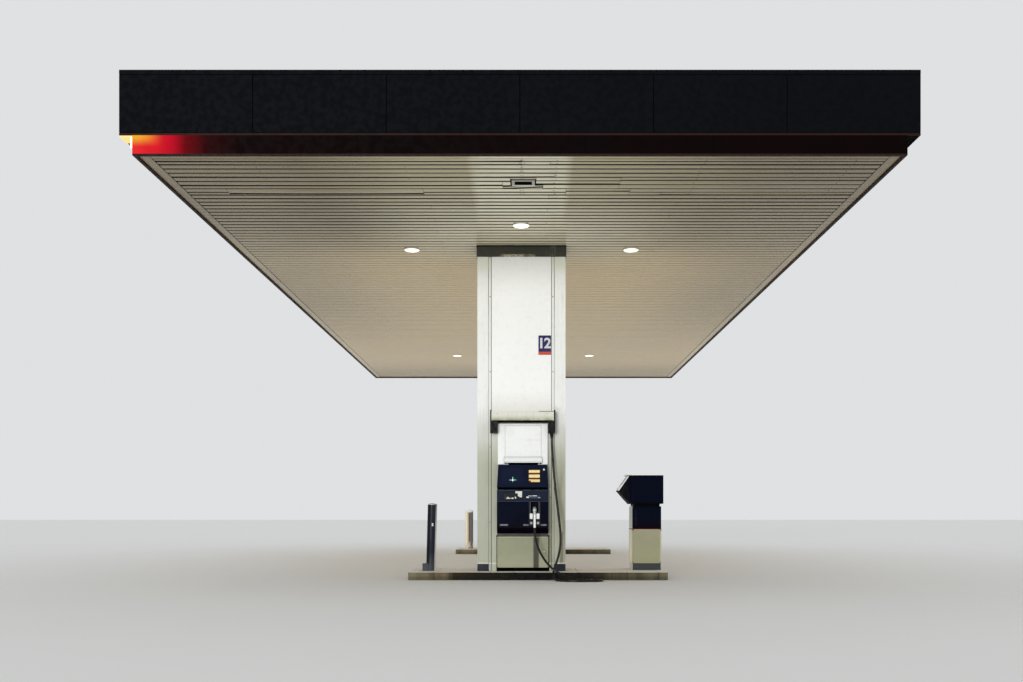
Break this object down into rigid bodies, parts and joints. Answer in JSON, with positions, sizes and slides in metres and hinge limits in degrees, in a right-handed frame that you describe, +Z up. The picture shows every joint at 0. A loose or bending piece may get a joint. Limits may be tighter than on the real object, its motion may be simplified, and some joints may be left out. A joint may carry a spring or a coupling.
{
  "type": "filling station canopy",
  "caption": "Flat-roofed filling station canopy on pylons that carry fuel pumps, with kerbed islands, a payment terminal, bollards and a recessed-light ceiling.",
  "frame": {"origin": "on the ground, under the centre of the roof's plan", "axes": "+X to the right seen from the front, +Y from the front to the back along the roof's length, +Z up"},
  "size_m": [9.15, 18.4, 6.06],
  "materials": {
    "ceiling_backing": "matt dark backing behind the ceiling boards",
    "ceiling": "glossy warm grey-white paint",
    "light_band": "translucent red sign face, mostly unlit",
    "fascia": "satin navy coated sheet",
    "roof": "weathered coated sheet",
    "steelwork": "grey primer",
    "hatch": "painted frame with a dark inside",
    "lamp_rim": "satin white paint",
    "lamp_lens": "frosted lit glass",
    "cladding": "satin pale grey-green paint, stained",
    "white_panel": "satin white paint",
    "arm_box": "stained cream paint",
    "navy_housing": "satin navy paint",
    "dark_trim": "dark grey paint",
    "door": "satin grey-green paint, stained",
    "number_plate": "printed plate",
    "boot": "moulded plastic",
    "cradle": "white moulded plastic cheeks with grey waists",
    "hose": "smooth black rubber",
    "nozzle": "worn cast aluminium body with a white plastic grip cover",
    "kerb": "weathered concrete",
    "terminal_cap": "pale painted sheet",
    "dark_bollard": "chipped dark paint",
    "pale_bollard": "worn cream paint"
  },
  "bodies": {
    "root": {"soffit": "ceiling_backing", "soffit_border": "ceiling", "front_light_band": "light_band", "rear_light_band": "light_band", "left_light_band": "light_band", "right_light_band": "light_band", "front_fascia": "fascia", "rear_fascia": "fascia", "left_fascia": "fascia", "right_fascia": "fascia", "roof_sheet": "roof", "spine_beam": "steelwork", "cross_beams": "steelwork", "ceiling_hatch": "hatch", "downlight_cans": "lamp_rim", "downlight_lenses": "lamp_lens", "pylon_cores": "steelwork", "front_pylon_cladding": "cladding", "rear_pylon_cladding": "cladding", "front_centre_panels": "white_panel", "rear_centre_panels": "white_panel", "front_arm_boxes": "arm_box", "rear_arm_boxes": "arm_box", "front_display_heads": "navy_housing", "rear_display_heads": "navy_housing", "front_pump_cabinets": "navy_housing", "rear_pump_cabinets": "navy_housing", "pylon_collars": "dark_trim", "pylon_plinths": "dark_trim", "sign_panels": "white_panel", "service_doors": "door", "hose_brackets": "dark_trim", "number_plates": "number_plate", "nozzle_boots": "boot", "nozzle_cradles": "cradle", "fuel_hose": "hose", "fuel_nozzle": "nozzle", "front_island": "kerb", "rear_island": "kerb", "terminal_cabinet": "door", "terminal_housing": "navy_housing", "terminal_console": "navy_housing", "terminal_cap": "terminal_cap", "front_bollard": "dark_bollard", "rear_bollard": "pale_bollard"}
  },
  "joints": []
}
